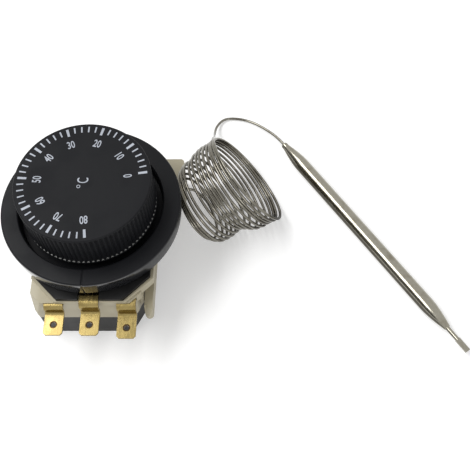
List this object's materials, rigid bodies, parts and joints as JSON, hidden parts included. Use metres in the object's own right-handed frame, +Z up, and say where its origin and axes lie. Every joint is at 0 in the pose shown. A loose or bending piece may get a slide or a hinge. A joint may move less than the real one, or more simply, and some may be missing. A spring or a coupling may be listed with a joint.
{
  "type": "capillary temperature switch",
  "caption": "Capillary temperature switch with a ribbed dial knob, round bezel, moulded switch housing, blade terminals, coiled capillary tube and slim sensor bulb.",
  "frame": {"origin": "on the spindle axis, at the underside of the base", "axes": "+Z up the spindle axis through the knob, -Y towards the blade terminals, +X towards the capillary coil and the bulb"},
  "size_m": [0.1572, 0.1019, 0.0482],
  "materials": {
    "dark_plastic": "fine satin",
    "ivory_plastic": "satin",
    "black_steel": "semi-matte black",
    "bezel_plastic": "matte top, glossy rim",
    "knob_plastic": "matte with white print",
    "zinc_steel": "zinc plated",
    "spring_steel": "rolled",
    "bright_steel": "bright drawn",
    "brass": "bright",
    "silver": "bright",
    "white_ceramic": "glazed"
  },
  "bodies": {
    "frame": {"base_cover": "dark_plastic", "switch_housing": "ivory_plastic", "mounting_plate": "black_steel", "bezel": "bezel_plastic", "bezel_screws": "zinc_steel", "spindle_bush": "brass", "setting_leaf": "spring_steel", "contact_upper": "silver", "contact_lower": "silver", "terminal_left": "brass", "terminal_middle": "brass", "terminal_right": "brass", "blade_rivet": "brass", "diaphragm_capsule": "bright_steel", "capsule_stud": "zinc_steel", "housing_rivets": "zinc_steel", "capillary_lead": "bright_steel", "capillary_coil": "bright_steel", "capillary_tube": "bright_steel", "sensor_bulb": "bright_steel", "sealed_tail": "bright_steel"},
    "dial": {"knob": "knob_plastic", "knob_spring_ring": "spring_steel", "spindle": "zinc_steel", "spindle_clip": "spring_steel"},
    "follower": {"setting_follower": "brass"},
    "pin": {"push_pin": "white_ceramic"},
    "blade": {"snap_blade": "spring_steel", "moving_contact": "silver"}
  },
  "joints": [
    {"name": "knob_turn", "type": "hinge", "parent": "frame", "child": "dial", "pos_m": [0, 0, 0.0408], "axis": [0, 0, 1], "range_deg": [-8.2, 261.8]},
    {"name": "follower_lift", "type": "slide", "parent": "frame", "child": "follower", "axis": [0, 0, 1], "range_m": [-0.00003, 0.00075]},
    {"name": "pin_push", "type": "slide", "parent": "frame", "child": "pin", "axis": [0, 0, 1], "range_m": [0, 0.0004], "stiffness_N_per_m": 100},
    {"name": "blade_swing", "type": "hinge", "parent": "frame", "child": "blade", "pos_m": [0, -0.0215, 0.0182], "axis": [1, 0, 0], "range_deg": [0, 1.07]}
  ],
  "couplings": [
    {"joint": "follower_lift", "follows": "knob_turn", "m_per_rad": 0.00015915},
    {"joint": "blade_swing", "follows": "pin_push", "rad_per_m": 46.512}
  ]
}
